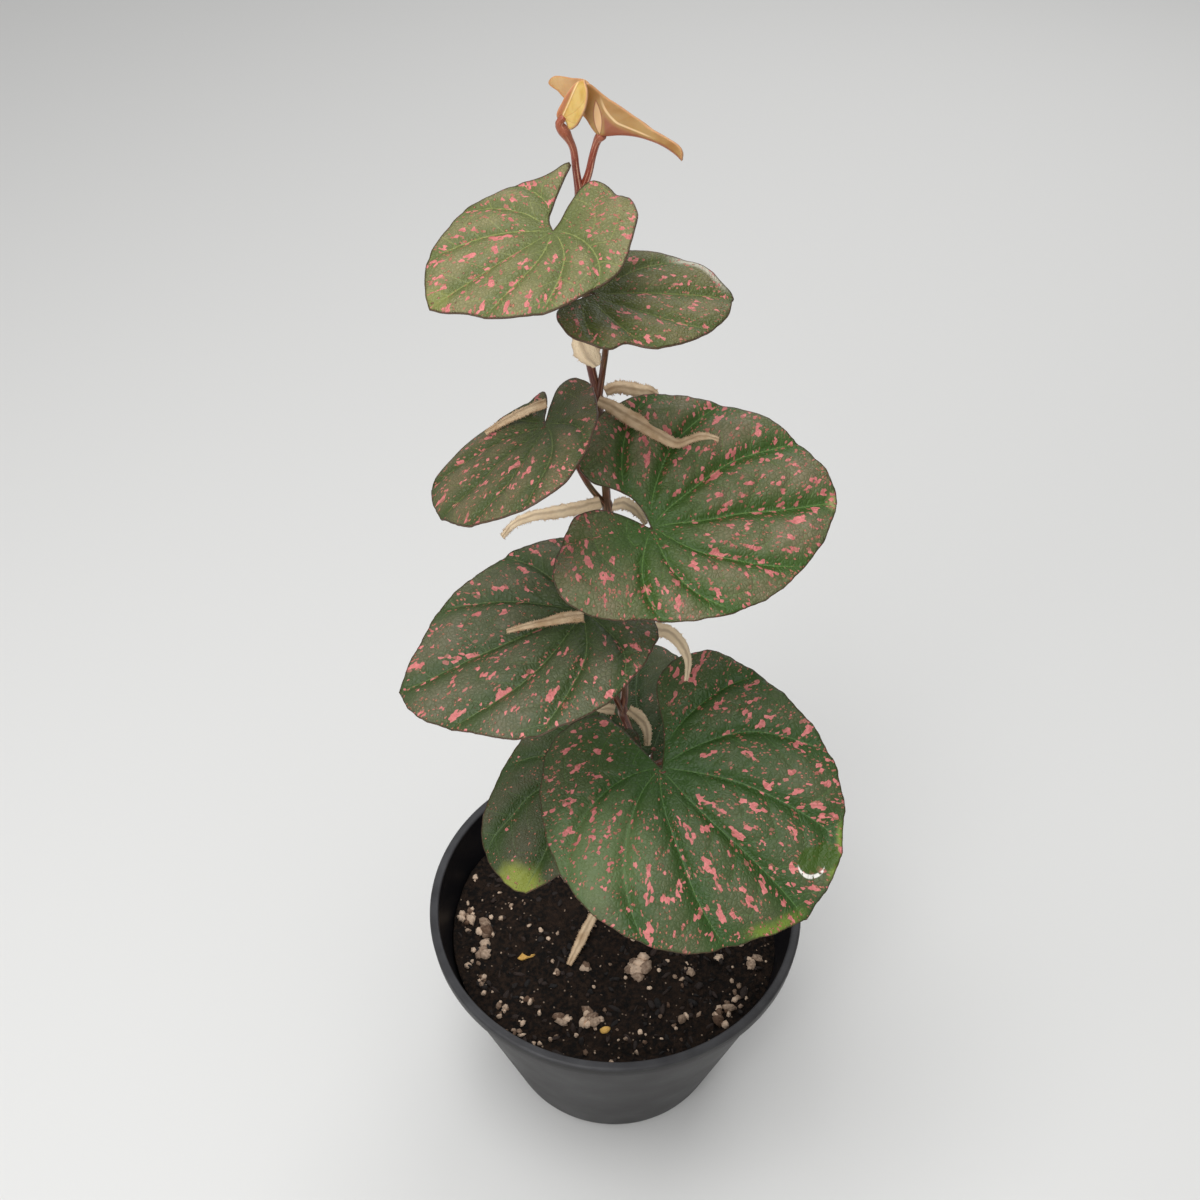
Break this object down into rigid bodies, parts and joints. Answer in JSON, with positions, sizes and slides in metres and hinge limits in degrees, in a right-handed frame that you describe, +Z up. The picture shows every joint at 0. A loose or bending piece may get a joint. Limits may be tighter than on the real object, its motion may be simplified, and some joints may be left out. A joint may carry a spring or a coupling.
{
  "type": "potted piper vine",
  "caption": "Upright young vine with heart-shaped, pink-flecked leaves on slim red stalks, rooted in potting mix in a small round nursery pot.",
  "frame": {"origin": "centre of the pot's underside, on its flat bottom", "axes": "+Z up along the shoot, -Y the side that most leaves face, +X to the right when looked at from -Y"},
  "size_m": [0.1, 0.1107, 0.2929],
  "materials": {
    "pot_plastic": "thin dark grey moulded plastic, satin outside, light scuffs on the lip",
    "potting_soil": "moist dark peat and bark mix with pale perlite grains, matte with damp glints",
    "stem_bark": "smooth red-brown young stem and leaf stalks, slightly glossy, with swollen joints",
    "leaf_green": "leathery deep green to olive blade with salmon-pink flecks, sunk veins and a satin sheen",
    "young_leaf": "soft translucent yellow to reddish tan young blade",
    "dry_sheath": "dry papery cream and tan sheath with a brown crease"
  },
  "bodies": {
    "root": {"pot": "pot_plastic", "soil": "potting_soil", "stem": "stem_bark", "leaf_1": "leaf_green", "leaf_2": "leaf_green", "leaf_3": "leaf_green", "leaf_4": "leaf_green", "leaf_5": "leaf_green", "leaf_6": "leaf_green", "leaf_7": "leaf_green", "leaf_8": "leaf_green", "young_leaf_left": "young_leaf", "young_leaf_right": "young_leaf", "sheath_1": "dry_sheath", "sheath_2": "dry_sheath", "sheath_3": "dry_sheath", "sheath_4": "dry_sheath", "sheath_5": "dry_sheath", "sheath_6": "dry_sheath", "sheath_7": "dry_sheath", "sheath_8": "dry_sheath", "sheath_9": "dry_sheath", "sheath_10": "dry_sheath", "sheath_11": "dry_sheath"}
  },
  "joints": []
}
